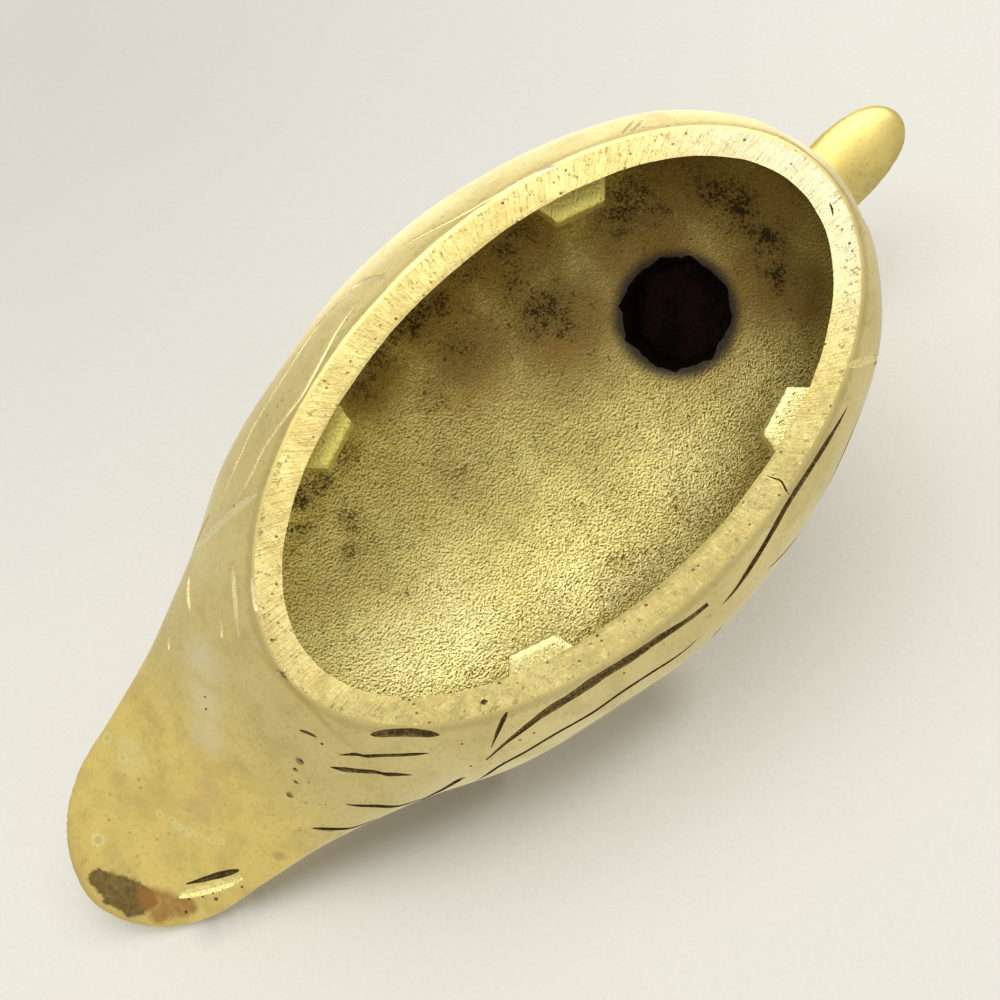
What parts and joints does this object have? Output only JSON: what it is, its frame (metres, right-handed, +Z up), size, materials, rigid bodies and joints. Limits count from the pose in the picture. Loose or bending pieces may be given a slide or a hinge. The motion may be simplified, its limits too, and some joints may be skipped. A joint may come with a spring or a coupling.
{
  "type": "duck ornament",
  "caption": "Hollow cast brass duck ornament with an open oval base, a fan tail, and a separately cast neck and head.",
  "frame": {"origin": "under the middle of the whole duck, on the plane of the filed rim that it stands on", "axes": "+Z up, the bill points along -Y and the tail along +Y, +X is the duck's left side"},
  "size_m": [0.0824, 0.2006, 0.0888],
  "materials": {
    "body_brass": "aged polished outside, filed rim, rough cast inside",
    "head_brass": "aged polished",
    "braze_metal": "filed and polished",
    "fired_core": "rough, fired dark"
  },
  "bodies": {
    "root": {"body_shell": "body_brass", "head_and_neck": "head_brass", "neck_braze_ring": "braze_metal", "core_plug": "fired_core"}
  },
  "joints": []
}
